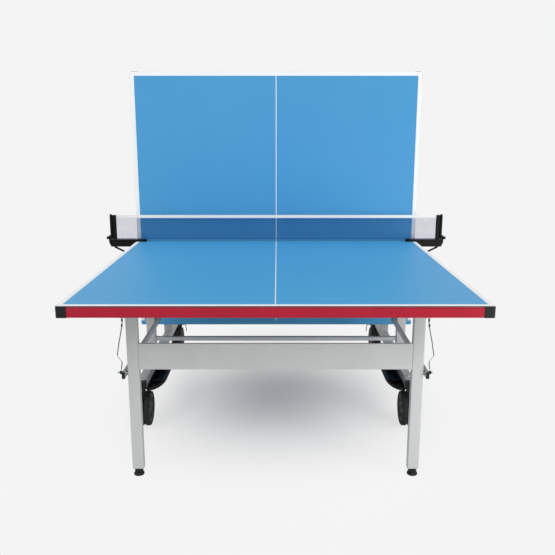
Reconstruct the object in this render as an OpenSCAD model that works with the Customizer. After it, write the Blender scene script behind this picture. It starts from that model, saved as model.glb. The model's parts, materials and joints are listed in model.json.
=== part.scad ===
// Outdoor ping pong table in its practice position: the near half is down for play and
// the far half stands upright behind the net.
// X runs along the net, +Y runs away from the near player and +Z is up. The modules draw in
// a frame whose Y = 0 is the net line, and stand() moves the whole table over its origin.

/* [Playing surface] */
// Length of one half
half_l = 1370; // [1300:10:1450]
// Width of the table along the net
table_w = 1525; // [1450:5:1600]
// Height of the playing surface above the floor
surface_h = 760; // [740:5:790]
// Thickness of the composite sheet
sheet_t = 5; // [4:1:6]
// Height of the painted edge frame under the sheet
edge_h = 39; // [32:1:40]
// Width of an edge frame tube
edge_w = 20; // [16:1:26]
// Size of a moulded corner cap
cap_s = 37; // [32:1:50]
// How far a corner cap stands proud of the edge frame
cap_proud = 1.5; // [1:0.5:3]

/* [Support frame] */
// Width and height of a cross rail under the sheet
cross_s = 25; // [20:1:25]
// Distance from the net edge to the first cross rail
net_rail_u = 60; // [56:2:100]
// Depth of the tilting axis below the surface
hinge_drop = 64; // [62:1:72]
// Distance from the net edge to the tilting axis
hinge_u = 416; // [400:2:430]
// How far behind the net line the upright surface stands
upright_y = 8; // [7:1:20]

/* [Leg frames] */
// Distance from the net edge to the leg axis
leg_u = 1150; // [1100:5:1170]
// Width of a leg tube across the table
leg_w = 45; // [35:1:50]
// Depth of a leg tube along the table
leg_d = 30; // [26:1:32]
// Outer face of a leg from the middle of the table
leg_x = 572; // [560:1:573]
// Height of the leg panel
panel_h = 105; // [60:5:140]
// Lower edge of the leg panel above the floor
panel_z = 450; // [400:5:500]
// Diameter of a foot
foot_d = 42; // [34:1:44]
// Height of a foot
foot_h = 30; // [24:1:40]

/* [Struts and posts] */
// Height of the strut pivots above the floor
strut_z = 430; // [410:5:450]
// Height of a strut bar
strut_h = 27; // [24:1:30]
// Thickness of a strut bar
strut_t = 12; // [10:1:12]
// Width of a post across the table
post_w = 44; // [38:1:44]
// Depth of a post along the table
post_d = 34; // [30:1:36]
// Underside of the bar between two posts
cross_bar_z = 325; // [300:5:360]
// Width and height of the bar between two posts
cross_bar_s = 20; // [16:1:26]

/* [Chassis] */
// Height of the top of a rail above the floor
rail_top = 225; // [222:1:240]
// Width and height of a rail tube
rail_s = 40; // [36:1:42]
// Wall of the rails, posts and legs
wall = 2.5; // [2:0.5:3]
// Clearance on each side of the sliding tube in its rail
slide_gap = 0.5; // [0.3:0.1:0.8]
// Length of the near rails in front of the net line
rail_l = 700; // [680:5:740]
// Length of the storage trays
tray_l = 397; // [300:5:450]

/* [Castors] */
// Diameter of a castor wheel
wheel_d = 160; // [140:5:160]
// Width of one wheel of a pair
wheel_w = 24; // [18:1:26]
// Distance from the swivel axis back to the wheel axle
trail = 28; // [20:2:34]

/* [Net] */
// Height of the top of the net above the surface
net_h = 145; // [140:1:152]
// Distance from the table's edge to the inner side of a net post
net_out = 105; // [95:1:120]
// Height of the white tape
tape_h = 16; // [12:1:20]

/* [Hidden] */

$fn = 48;
play = 0.05;             // radial clearance of a pin in its bore
loose = 0.6;             // radial clearance at the pivot that closes the linkage
side_gap = 1;            // gap between an ear and the tube that it holds

half_w = table_w / 2;
sheet_low = surface_h - sheet_t;
edge_low = sheet_low - edge_h;
cross_low = sheet_low - cross_s;
inner_w = half_w - edge_w;
hinge_z = surface_h - hinge_drop;
link_l = leg_u - hinge_u;
far_y = upright_y + hinge_drop;          // where the far posts stand while that half is up
post_in = 600;
post_out = post_in + post_w;
post_over = 12;                          // how far posts and legs reach above their pins
pin_d = 10;
bolt_d = 8;
ear_t = 6;
ear_r = 14;
plate_t = 4;
rib_u = [hinge_u + 26, (hinge_u + leg_u) / 2, leg_u + 18];   // cross rails behind the brackets

strut_in = leg_x + 8;                    // the black spacer fills the 8 mm
strut_out = strut_in + strut_t;
strut_over = 25;                         // length of a strut past its outer pivot
lock_y = -leg_u - 9;
lock_z = strut_z + 6;
lock_d = 6;
pin_tip_x = strut_out + 20;              // where a lock pin ends outside its housing

rail_low = rail_top - rail_s;
rail_in = post_in + 2;
rail_out = rail_in + rail_s;
slide_s = rail_s - 2 * wall - 2 * slide_gap;
joint_y = -18;                           // where the near rails end and the far rails begin
slide_back = 574;                        // reach of the sliding tubes in front of the net line
slide_front = 60;                        // and past the joint, inside the far rails
far_rail_l = 280;                        // length of the far rails behind the far posts
far_rail_end = far_y + far_rail_l;

block_l = 26;
block_w = 25;
block_low = rail_low + 1;
block_top = rail_top - 1;
castor_x = rail_in + 9;
stem_d = 12;
stem_gap = block_l - 12;                 // from the rail end to the swivel axis
near_stem_y = -rail_l - stem_gap;
far_stem_y = far_rail_end + stem_gap + 4;
axle_z = wheel_d / 2;
axle_d = 12;
plate_w = 6;                             // yoke plate between the two wheels
wheel_in = plate_w / 2 + 1;
tyre_t = 14;

near_end = -half_l - cap_proud;
far_end = far_stem_y - trail + wheel_d / 2;
shift_y = -(near_end + far_end) / 2;

// ---- Where each group stands ----

module stand() {
    translate([0, shift_y, 0]) children();
}

module both() {
    children();
    mirror([1, 0, 0]) children();
}

module at_side(s) {
    if (s > 0) children();
    else mirror([1, 0, 0]) children();
}

// The far half is the near half turned round and stood up about its own tilting axis
module raise(axis_z) {
    stand() translate([0, far_y, axis_z]) rotate([-90, 0, 180]) translate([0, hinge_u, -axis_z])
        children();
}

// The far legs stay upright and hang from the raised half
module hang() {
    stand() translate([0, far_y, link_l]) rotate([0, 0, 180]) translate([0, leg_u, 0]) children();
}

// ---- Shapes that repeat ----

module box(x0, x1, y0, y1, z0, z1) {
    translate([x0, y0, z0]) cube([x1 - x0, y1 - y0, z1 - z0]);
}

module bar_x(x0, x1, y, z, d) {
    translate([x0, y, z]) rotate([0, 90, 0]) cylinder(d = d, h = x1 - x0);
}

module hex_x(x0, x1, y, z, d) {
    translate([x0, y, z]) rotate([0, 90, 0]) cylinder(d = d, h = x1 - x0, $fn = 6);
}

module tube_x(x0, x1, y0, y1, z0, z1, t) {
    difference() {
        box(x0, x1, y0, y1, z0, z1);
        box(x0 - 1, x1 + 1, y0 + t, y1 - t, z0 + t, z1 - t);
    }
}

module tube_y(x0, x1, y0, y1, z0, z1, t) {
    difference() {
        box(x0, x1, y0, y1, z0, z1);
        box(x0 + t, x1 - t, y0 - 1, y1 + 1, z0 + t, z1 - t);
    }
}

// ---- Board of one half ----

module board_sheet() {
    color("steelblue") box(-half_w, half_w, -half_l, 0, sheet_low, surface_h);
}

// Base plate with two ears that hold a post or a leg at its hinge pin
module bracket(x0, x1, u) {
    difference() {
        union() {
            for (x = [x0 - side_gap - ear_t + 0.5, x1 + side_gap])
                box(x, x + ear_t - 0.5, -u - ear_r, -u + ear_r, hinge_z - ear_r + 2, sheet_low - 1);
            box(x0 - side_gap - ear_t + 0.5, x1 + side_gap + ear_t - 0.5,
                -u - 26, -u + ear_r, sheet_low - plate_t, sheet_low);
        }
        bar_x(x0 - 20, x1 + 20, -u, hinge_z, pin_d + 2 * play);
    }
}

module board_frame() {
    color("silver") union() {
        both() tube_y(inner_w, half_w, -half_l + cap_s, -net_rail_u, edge_low, sheet_low, 2);
        for (u = concat([net_rail_u], rib_u))
            tube_x(-inner_w, inner_w, -u - cross_s, -u, cross_low, sheet_low, 2);
        both() bracket(post_in, post_out, hinge_u);
        both() bracket(leg_x - leg_w, leg_x, leg_u);
    }
}

module board_apron() {
    color("crimson")
        tube_x(-half_w + cap_s, half_w - cap_s, -half_l, -half_l + edge_w, edge_low, sheet_low, 2);
}

module board_caps() {
    round_r = 8;
    out = half_w + cap_proud;
    end = half_l + cap_proud;
    color("black") both() difference() {
        union() {
            box(half_w - cap_s, out - round_r, -end, -half_l + edge_w, edge_low, sheet_low);
            box(inner_w, out, -end + round_r, -half_l + cap_s, edge_low, sheet_low);
            translate([out - round_r, -end + round_r, edge_low])
                cylinder(r = round_r, h = sheet_low - edge_low);
        }
    }
}

module board_pins() {
    color("gray") both() {
        bar_x(post_in - side_gap - ear_t + 0.5, post_out + side_gap + ear_t - 0.5,
            -hinge_u, hinge_z, pin_d);
        bar_x(leg_x - leg_w - side_gap - ear_t + 0.5, leg_x + side_gap + ear_t - 0.5,
            -leg_u, hinge_z, pin_d);
    }
}

// ---- Legs of one half ----

// Hollow upright tube whose top is filled and drilled for its hinge pin
module upright(x0, x1, y, d, z0) {
    top = hinge_z + post_over;
    difference() {
        box(x0, x1, y - d / 2, y + d / 2, z0, top);
        box(x0 + wall, x1 - wall, y - d / 2 + wall, y + d / 2 - wall, z0 - 1, top - 2 * post_over);
        bar_x(x0 - 1, x1 + 1, y, hinge_z, pin_d + 2 * play);
        bar_x(x0 - 1, x1 + 1, y, strut_z, bolt_d + 2 * play);
    }
}

guide_z = 655;                           // underside of the guide that the release cable leaves
module leg_tubes() {
    color("silver") both() difference() {
        union() {
            upright(leg_x - leg_w, leg_x, -leg_u, leg_d, foot_h);
            box(leg_x - 0.01, strut_in + 12, -leg_u - leg_d / 2, -leg_u - leg_d / 2 + 8,
                guide_z, guide_z + 12);
        }
        lock_slot(leg_x - wall - 1, leg_x + 1);
    }
}

// Curved slot in the leg along which the lock pin travels between its two seats
module lock_slot(x0, x1) {
    dy = lock_y + leg_u;
    dz = lock_z - strut_z;
    r = norm([dy, dz]);
    w = lock_d / 2 + loose;
    a1 = atan2(dz, dy);                  // seat in play; the other seat is a quarter turn back
    a0 = a1 - 90;
    trim = 20;                           // the round ends start this far round from the sides
    function arc(c, q, from, to) = [
        for (i = [0 : 8]) let (t = from + (to - from) * i / 8) c + q * [cos(t), sin(t)]
    ];
    outline = concat(
        arc([0, 0], r + w, a0, a1),
        arc(r * [cos(a1), sin(a1)], w, a1 + trim, a1 + 180 - trim),
        arc([0, 0], r - w, a1, a0),
        arc(r * [cos(a0), sin(a0)], w, a0 + 180 + trim, a0 + 360 - trim));
    translate([x0, -leg_u, strut_z]) rotate([90, 0, 90]) linear_extrude(x1 - x0) polygon(outline);
}

module leg_plate() {
    inside = leg_x - leg_w;
    color("silver")
        box(-inside, inside, -leg_u - leg_d / 2, -leg_u - leg_d / 2 + 10, panel_z, panel_z + panel_h);
}

module leg_feet() {
    color("black") both() translate([leg_x - leg_w / 2, -leg_u, 0]) union() {
        cylinder(d = foot_d, h = foot_h / 3);
        cylinder(d = foot_d - 8, h = foot_h);
    }
}

// Bolt and spacer at the strut's outer pivot: they belong to the leg and turn in the strut
module leg_bolt_pair() {
    color("dimgray") both() union() {
        bar_x(leg_x - leg_w, strut_out + 1, -leg_u, strut_z, bolt_d);
        bar_x(leg_x, strut_in - 0.3, -leg_u, strut_z, 14);
    }
}

// ---- Struts of one half ----

module strut_pair() {
    y_out = -leg_u - strut_over;
    color("lightgray") both() difference() {
        union() {
            box(strut_in, strut_out, y_out, -hinge_u, strut_z - strut_h / 2, strut_z + strut_h / 2);
            bar_x(strut_in, strut_out, -hinge_u, strut_z, strut_h);
        }
        bar_x(strut_in - 1, strut_out + 1, -hinge_u, strut_z, bolt_d + 2 * play);
        bar_x(strut_in - 1, strut_out + 1, -leg_u, strut_z, bolt_d + 2 * loose);
        bar_x(strut_in - 1, strut_out + 1, lock_y, lock_z, lock_d + 2 * play);
    }
}

// End caps of the struts, and the housings in which the lock pins slide
module strut_cap_pair() {
    y_out = -leg_u - strut_over;
    color("black") both() {
        box(strut_in, strut_out, y_out - 4, y_out, strut_z - strut_h / 2, strut_z + strut_h / 2);
        difference() {
            bar_x(strut_out, strut_out + 10, lock_y, lock_z, 14);
            bar_x(strut_out - 1, strut_out + 11, lock_y, lock_z, lock_d + 2 * play);
            bar_x(strut_out - 1, strut_out + 1.5, -leg_u, strut_z, bolt_d + 2 * loose);
        }
    }
}

// Spring pin through strut and leg, with a tapered tip outside its housing
module lock_pin(s) {
    tip_l = 7;
    color("silver") at_side(s) union() {
        bar_x(leg_x - 6, pin_tip_x - tip_l, lock_y, lock_z, lock_d);
        translate([pin_tip_x - tip_l, lock_y, lock_z]) rotate([0, 90, 0])
            cylinder(d1 = lock_d + 1.5, d2 = lock_d / 2, h = tip_l);
    }
}

// Points of a release cable from its guide on the leg down to just above the pin's housing
cable_y = -leg_u - 10;
cable_route = [
    [0, guide_z], [0, 640], [3, 620], [9, 590], [16, 560], [21, 530],
    [25, 508], [20, 496], [11, 483], [9, 472], [11, 460], [13, 448]
];
cable_d = 3;

function cat(a, b, c, d, t) =
    0.5 * (2 * b + (c - a) * t + (2 * a - 5 * b + 4 * c - d) * t * t
        + (3 * b - a - 3 * c + d) * t * t * t);

function smooth(p, n) = [
    for (i = [0 : len(p) - 2]) for (k = [0 : n - 1])
        cat(p[max(i - 1, 0)], p[i], p[i + 1], p[min(i + 2, len(p) - 1)], k / n),
    p[len(p) - 1]
];

module cable(points, d) {
    sides = 8;
    count = len(points);
    rings = [
        for (i = [0 : count - 1])
            let (
                a = points[max(i - 1, 0)],
                b = points[min(i + 1, count - 1)],
                run = (b - a) / norm(b - a)
            )
            for (k = [0 : sides - 1])
                let (c = cos(360 * k / sides), e = sin(360 * k / sides))
                [points[i][0] - run[1] * c * d / 2, e * d / 2, points[i][1] + run[0] * c * d / 2]
    ];
    walls = [
        for (i = [0 : count - 2]) for (k = [0 : sides - 1])
            let (n = (k + 1) % sides, j = i * sides)
            [j + k, j + n, j + sides + n, j + sides + k]
    ];
    start_face = [for (k = [sides - 1 : -1 : 0]) k];
    end_face = [for (k = [0 : sides - 1]) (count - 1) * sides + k];
    polyhedron(rings, concat(walls, [start_face, end_face]));
}

module cable_pair() {
    color("gray") both() translate([strut_in + 4, cable_y, 0]) cable(smooth(cable_route, 3), cable_d);
}

// ---- Chassis ----

module rail_pair(y0, y1, t) {
    color("silver") both() tube_y(rail_in, rail_out, y0, y1, rail_low, rail_top, t);
}

module slide_pair() {
    x0 = rail_in + (rail_s - slide_s) / 2;
    z0 = rail_low + (rail_s - slide_s) / 2;
    color("gray") both()
        tube_y(x0, x0 + slide_s, -slide_back, joint_y + slide_front, z0, z0 + slide_s, 2);
}

module post_pair(y) {
    color("silver") both() upright(post_in, post_out, y, post_d, rail_top);
}

module post_bar(y) {
    color("silver")
        tube_x(-post_in, post_in, y - cross_bar_s / 2, y + cross_bar_s / 2,
            cross_bar_z, cross_bar_z + cross_bar_s, 2);
}

// Bolts on which the struts turn, with a bush between strut and post
module pivot_bolt_pair(y) {
    color("dimgray") both() union() {
        hex_x(strut_in - 6, strut_in - 0.3, y, strut_z, 15);
        bar_x(strut_in - 1, post_out + 1, y, strut_z, bolt_d);
        bar_x(strut_out + 0.3, post_in, y, strut_z, 18);
        hex_x(post_out, post_out + 6, y, strut_z, 15);
    }
}

// Moulded block that closes a rail end and carries a castor; dir points away from the rail
module castor_blocks(y_end, y_stem, dir, plug) {
    bore = stem_d + 2 * play;
    y_tip = y_stem + dir * 12;
    color("black") both() difference() {
        union() {
            box(rail_in - 3, rail_in - 3 + block_w, min(y_end, y_tip), max(y_end, y_tip),
                block_low, block_top);
            box(rail_in + plug + 0.5, rail_in + rail_s - plug - 0.5,
                min(y_end, y_end - dir * 20), max(y_end, y_end - dir * 20),
                rail_low + plug + 0.5, rail_top - plug - 0.5);
        }
        translate([castor_x, y_stem, block_low - 1]) cylinder(d = bore, h = 30);
    }
}

// ---- Castors ----

crown_top = block_low - 0.3;
crown_t = 4;
neck_d = 16;                             // collar between the crown and the block
module yoke(s, y_stem) {
    color("black") at_side(s) translate([castor_x, y_stem, 0]) difference() {
        union() {
            translate([0, 0, crown_top - 1]) cylinder(d = stem_d, h = 27);
            translate([0, 0, wheel_d + 2]) cylinder(d = neck_d, h = crown_top - wheel_d - 2);
            box(-wheel_in - wheel_w + 4, wheel_in + wheel_w - 4, -14, 26,
                wheel_d + 2, wheel_d + 2 + crown_t);
            box(-plate_w / 2, plate_w / 2, -8, 40, axle_z + 14, wheel_d + 3);
            translate([0, trail, 0]) box(-plate_w / 2, plate_w / 2, -14, 14, axle_z, axle_z + 20);
            bar_x(-plate_w / 2, plate_w / 2, trail, axle_z, 28);
        }
        bar_x(-plate_w, plate_w, trail, axle_z, axle_d + 2 * play);
    }
}

module wheel_at(s, y_stem) {
    at_side(s) translate([castor_x, y_stem + trail, axle_z]) rotate([0, 90, 0]) children();
}

module tyres(s, y_stem) {
    color("dimgray") wheel_at(s, y_stem) for (side = [-1, 1])
        translate([0, 0, side * (wheel_in + wheel_w / 2)]) rotate_extrude()
            translate([wheel_d / 2 - tyre_t, 0])
                polygon([[0, -wheel_w / 2], [tyre_t - 4, -wheel_w / 2], [tyre_t, -wheel_w / 2 + 4],
                    [tyre_t, wheel_w / 2 - 4], [tyre_t - 4, wheel_w / 2], [0, wheel_w / 2]]);
}

module hubs(s, y_stem) {
    rim = wheel_d / 2 - tyre_t;
    color("black") wheel_at(s, y_stem) union() {
        translate([0, 0, -wheel_in - wheel_w]) cylinder(d = axle_d, h = 2 * (wheel_in + wheel_w));
        for (side = [-1, 1]) translate([0, 0, side * (wheel_in + wheel_w / 2)]) rotate_extrude()
            polygon([[0, -wheel_w / 2 + 1], [20, -wheel_w / 2 + 1], [24, -4], [rim - 8, -4],
                [rim - 6, -wheel_w / 2 + 1], [rim, -wheel_w / 2 + 1], [rim, wheel_w / 2 - 1],
                [rim - 6, wheel_w / 2 - 1], [rim - 8, 4], [24, 4], [20, wheel_w / 2 - 1],
                [0, wheel_w / 2 - 1]]);
    }
}

// Wire lever hinged on the crown of a far castor, running down the wheel's inner side
lever_d = 5;
lever_l = 58;
lever_y = 9;
lever_gap = 16;                          // between the wheel and the lever
lever_z = wheel_d + 2 + crown_t + lever_d / 2 + 0.3;
module brake_lever(s) {
    out = wheel_in + wheel_w + lever_gap;
    color("gray") at_side(s) translate([castor_x, far_stem_y, 0]) union() {
        bar_x(-out, -neck_d / 2 - 0.5, lever_y, lever_z, lever_d);
        translate([-out, lever_y, lever_z]) sphere(d = lever_d + 1);
        translate([-out, lever_y, lever_z]) rotate([-146, 0, 0]) {
            cylinder(d = lever_d, h = lever_l);
            translate([0, 0, lever_l]) sphere(d = lever_d + 3);
        }
    }
}

// ---- Storage trays under the near rails ----

tray_w = 73;
tray_step = 18;                          // depth of the shallow pocket
tray_deep = 44;                          // depth of the deep pocket
tray_curve = 142;                        // length of the rounded near end
ridge = 106;                             // the rib between the two pockets
pocket_in = 22;                          // how far the deep pocket stands in from the tray's side
pocket_y = 118;                          // and from its near end
pocket_curve = 60;

// D-shaped outline: straight sides and a quarter of an ellipse at the near end
function tray_outline(side, near, curve, inset) = concat(
    [[tray_w - inset, tray_l - inset], [side + inset, tray_l - inset]],
    [for (a = [0 : 9 : 90]) [tray_w - inset - (tray_w - side - 2 * inset) * cos(a),
        near + curve - (curve - inset) * sin(a)]]);

module tray_level(inset, up) {
    translate([0, 0, rail_low - tray_step + up]) linear_extrude(tray_step)
        polygon(tray_outline(0, 0, tray_curve, inset));
}

module tray_pocket(inset, up) {
    translate([0, 0, rail_low - tray_deep + up]) linear_extrude(tray_deep)
        polygon(tray_outline(pocket_in, pocket_y, pocket_curve, inset));
}

module tray(s) {
    t = 3;
    color("black") at_side(s) translate([rail_in - tray_w, -rail_l + 3, 0]) difference() {
        union() {
            tray_level(0, 0);
            tray_pocket(0, 0);
            box(tray_w - 1, tray_w + 18, 30, tray_l, rail_low - 3, rail_low);
        }
        difference() {
            tray_level(t, t);
            box(-1, tray_w + 1, ridge - t, ridge + t, rail_low - tray_step, rail_low + t);
        }
        tray_pocket(t, t);
    }
}

// ---- Net ----

net_y = -18;
net_pivot_z = surface_h + 20;
post_in_x = half_w + net_out;
arm_top = surface_h + 12;
net_low = surface_h + 14;
net_top = surface_h + net_h;
clamp_w = 24;
clamp_in = 58;                           // reach of a clamp's arm over the sheet
clamp_jaw = 38;                          // reach of its jaw under the edge frame
clamp_out = 42;                          // reach past the inner side of the net post
knob_gap = 1.5;
knob_l = 12.5;

module net_sheet() {
    color("navy") box(-post_in_x, post_in_x, net_y - 1, net_y + 1, net_low, net_top - tape_h);
}

module net_band() {
    color("white") box(-post_in_x, post_in_x, net_y - 2.5, net_y + 2.5, net_top - tape_h, net_top);
}

// Inner channel that holds the net, outer round tube and the knob of the hinge bolt
module net_post_pair() {
    x0 = post_in_x;
    deep = 15;                           // just clears the clamp arm when the posts tilt
    color("black") both() union() {
        box(x0, x0 + 20, net_y - deep / 2, net_y + deep / 2, net_pivot_z, net_top);
        translate([x0 + 20 + deep / 2, net_y, net_pivot_z]) cylinder(d = deep, h = net_h - 15);
        bar_x(x0, x0 + 20, net_y, net_pivot_z, deep);
        bar_x(x0 + 10, x0 + clamp_out + knob_l / 2, net_y, net_pivot_z, bolt_d);
        translate([x0 + clamp_out + knob_gap, 0, 0]) bar_x(0, knob_l, net_y, net_pivot_z, 16);
    }
}

// Clamp with an arm over the sheet, a block outside it and a jaw under it
module net_clamp_pair() {
    x0 = half_w - clamp_in;
    x1 = post_in_x + clamp_out;
    y0 = net_y - clamp_w / 2;
    y1 = net_y + clamp_w / 2;
    color("black") both() difference() {
        union() {
            box(x0 + clamp_w / 2, x1, y0, y1, surface_h, arm_top);
            translate([x0 + clamp_w / 2, net_y, surface_h])
                cylinder(d = clamp_w, h = arm_top - surface_h);
            box(half_w + 1.5, x1, y0, y1, surface_h - 27, surface_h + 1);
            box(x1 - 5, x1, y0, y1, surface_h, arm_top + 22);
            box(half_w - clamp_jaw, half_w + 2, y0, y1 - 8, surface_h - 22, surface_h - 14);
            translate([half_w - 24, y0 + 8, surface_h - 15])
                cylinder(d = 12, h = 15 - sheet_t);
        }
        bar_x(x1 - 8, x1 + 8, net_y, net_pivot_z, bolt_d + 2 * play);
    }
}

// Rod that turns the clamp screw, hanging below the clamp block toward the player
module clamp_lever_pair() {
    z0 = surface_h - 27;
    rod_l = 90;
    rod_d = 9;
    color("black") both() translate([post_in_x + 10, net_y, z0 - 12]) union() {
        cylinder(d = rod_d + 1, h = 12);
        sphere(d = rod_d + 2);
        rotate([94, 0, -48]) {
            cylinder(d = rod_d, h = rod_l);
            translate([0, 0, rod_l - 2]) sphere(d = rod_d + 4);
        }
    }
}

// ---- Nodes ----

module near_tabletop() { stand() board_sheet(); }
module near_subframe() { stand() board_frame(); }
module near_apron() { stand() board_apron(); }
module near_corner_caps() { stand() board_caps(); }
module near_hinge_pins() { stand() board_pins(); }
module near_legs() { stand() leg_tubes(); }
module near_leg_panel() { stand() leg_plate(); }
module near_feet() { stand() leg_feet(); }
module near_leg_bolts() { stand() leg_bolt_pair(); }
module near_struts() { stand() strut_pair(); }
module near_strut_caps() { stand() strut_cap_pair(); }
module near_lock_pin(s) { stand() lock_pin(s); }
module near_cables() { stand() cable_pair(); }

module far_tabletop() { raise(hinge_z) board_sheet(); }
module far_subframe() { raise(hinge_z) board_frame(); }
module far_apron() { raise(hinge_z) board_apron(); }
module far_corner_caps() { raise(hinge_z) board_caps(); }
module far_hinge_pins() { raise(hinge_z) board_pins(); }
module far_legs() { hang() leg_tubes(); }
module far_leg_panel() { hang() leg_plate(); }
module far_feet() { hang() leg_feet(); }
module far_leg_bolts() { hang() leg_bolt_pair(); }
module far_struts() { raise(strut_z) strut_pair(); }
module far_strut_caps() { raise(strut_z) strut_cap_pair(); }
module far_lock_pin(s) { raise(strut_z) lock_pin(-s); }
module far_cables() { hang() cable_pair(); }

module near_rails() { stand() rail_pair(-rail_l, joint_y, wall); }
module near_posts() { stand() post_pair(-hinge_u); }
module near_cross_bar() { stand() post_bar(-hinge_u); }
module near_castor_blocks() { stand() castor_blocks(-rail_l, near_stem_y, -1, wall); }
module near_pivot_bolts() { stand() pivot_bolt_pair(-hinge_u); }
module far_rails() { stand() rail_pair(joint_y + 2, far_rail_end, (rail_s - slide_s) / 2); }
module far_slide_tubes() { stand() slide_pair(); }
module far_posts() { stand() post_pair(far_y); }
module far_cross_bar() { stand() post_bar(far_y); }
module far_castor_blocks() {
    stand() castor_blocks(far_rail_end, far_stem_y, 1, (rail_s - slide_s) / 2);
}
module far_pivot_bolts() { stand() pivot_bolt_pair(far_y); }

module near_yoke(s) { stand() yoke(s, near_stem_y); }
module far_yoke(s) {
    stand() translate([0, 2 * far_stem_y, 0]) mirror([0, 1, 0]) yoke(s, far_stem_y);
}
module near_tyres(s) { stand() tyres(s, near_stem_y); }
module near_hubs(s) { stand() hubs(s, near_stem_y); }
module far_tyres(s) { stand() tyres(s, far_stem_y - 2 * trail); }
module far_hubs(s) { stand() hubs(s, far_stem_y - 2 * trail); }

near_tabletop();
near_subframe();
near_apron();
near_corner_caps();
near_hinge_pins();
near_legs();
near_leg_panel();
near_feet();
near_leg_bolts();
near_struts();
near_strut_caps();
near_lock_pin(-1);  // near_lock_pin_left
near_lock_pin(1);  // near_lock_pin_right
near_cables();
far_tabletop();
far_subframe();
far_apron();
far_corner_caps();
far_hinge_pins();
far_legs();
far_leg_panel();
far_feet();
far_leg_bolts();
far_struts();
far_strut_caps();
far_lock_pin(-1);  // far_lock_pin_left
far_lock_pin(1);  // far_lock_pin_right
far_cables();
near_rails();
near_posts();
near_cross_bar();
near_castor_blocks();
near_pivot_bolts();
stand() tray(-1);  // tray_left
stand() tray(1);  // tray_right
far_rails();
far_slide_tubes();
far_posts();
far_cross_bar();
far_castor_blocks();
far_pivot_bolts();
near_yoke(-1);  // yoke_near_left
near_yoke(1);  // yoke_near_right
far_yoke(-1);  // yoke_far_left
far_yoke(1);  // yoke_far_right
near_tyres(-1);  // tyres_near_left
near_tyres(1);  // tyres_near_right
far_tyres(-1);  // tyres_far_left
far_tyres(1);  // tyres_far_right
near_hubs(-1);  // hubs_near_left
near_hubs(1);  // hubs_near_right
far_hubs(-1);  // hubs_far_left
far_hubs(1);  // hubs_far_right
stand() brake_lever(-1);  // brake_lever_left
stand() brake_lever(1);  // brake_lever_right
stand() net_sheet();  // net_mesh
stand() net_band();  // net_tape
stand() net_post_pair();  // net_posts
stand() net_clamp_pair();  // net_clamps
stand() clamp_lever_pair();  // net_clamp_levers
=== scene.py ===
# %% [markdown]
# # An outdoor ping pong table
# The table stands in its practice position: the near half is down, the far half is upright
# behind the net. The CAD model carries every joint and size. Here each piece gets its finish,
# and the tubes, sheets, wheels, net and cables get the soft edges and threads of the real ones.
# The frame comes first, because nearly every position below is read from it.

# %% The frame
import json
import math

import bmesh
import bpy
import numpy as np
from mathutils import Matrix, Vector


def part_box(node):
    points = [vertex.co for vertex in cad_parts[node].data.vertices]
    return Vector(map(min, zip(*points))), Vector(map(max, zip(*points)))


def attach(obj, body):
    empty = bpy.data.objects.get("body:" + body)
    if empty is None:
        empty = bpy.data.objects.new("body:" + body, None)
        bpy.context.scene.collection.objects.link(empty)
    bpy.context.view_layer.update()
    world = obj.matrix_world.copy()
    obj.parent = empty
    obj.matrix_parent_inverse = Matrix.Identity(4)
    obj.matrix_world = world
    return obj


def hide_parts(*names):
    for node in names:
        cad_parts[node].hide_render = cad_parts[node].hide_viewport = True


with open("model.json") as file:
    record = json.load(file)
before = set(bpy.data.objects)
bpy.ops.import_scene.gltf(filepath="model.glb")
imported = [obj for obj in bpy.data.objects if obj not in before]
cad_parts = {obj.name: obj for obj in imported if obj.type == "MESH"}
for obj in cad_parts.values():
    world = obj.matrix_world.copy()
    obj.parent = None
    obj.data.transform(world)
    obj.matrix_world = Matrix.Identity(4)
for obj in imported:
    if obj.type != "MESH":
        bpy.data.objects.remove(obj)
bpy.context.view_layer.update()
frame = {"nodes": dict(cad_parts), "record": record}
nodes = frame["nodes"]


# %% [markdown]
# Positions are worked out from the frame. `low` and `high` are the corners of a node's box.
# The net line lies at the net-side edge of the near tabletop, and the two halves are the same
# piece in two poses, so each half is drawn in its own coordinates: x along the net, u outward
# from the net edge and w up from the playing surface.

# %% Driving sizes
MM = 0.001


def low(node):
    """Lower corner (x, y, z) of a node's box."""
    return np.array(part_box(node)[0])


def high(node):
    """Upper corner of a node's box."""
    return np.array(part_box(node)[1])


HALF_W = high("near_tabletop")[0]
HALF_L = high("near_tabletop")[1] - low("near_tabletop")[1]
SURFACE_Z = high("near_tabletop")[2]
SHEET_T = SURFACE_Z - low("near_tabletop")[2]
NET_LINE = high("near_tabletop")[1]
FAR_FACE = low("far_tabletop")[1]
FAR_EDGE_Z = low("far_tabletop")[2]
print("half", round(HALF_L, 4), "surface", round(SURFACE_Z, 4), "net line", round(NET_LINE, 4))


def near_half(p):
    """Half coordinates (x, u, w) to the near half's place: y = net line - u, z = surface + w."""
    return np.stack([p[..., 0], NET_LINE - p[..., 1], SURFACE_Z + p[..., 2]], -1)


def far_half(p):
    """Half coordinates to the upright half: y = face - w, z = lower edge + u, x mirrored."""
    return np.stack([-p[..., 0], FAR_FACE - p[..., 2], FAR_EDGE_Z + p[..., 1]], -1)


# %% [markdown]
# ## Building surfaces
# A piece could be modelled by hand or cut from Blender's own solids. Here every new piece is a
# grid of points computed as one array, because such a grid follows the frame's sizes when they
# change. `mesh_from` joins grids into one object, welds their seams and makes the faces point
# outwards. Weighted normals keep a wide flat face evenly lit right up to its rounded edge, as
# sheet and tube are.

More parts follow.
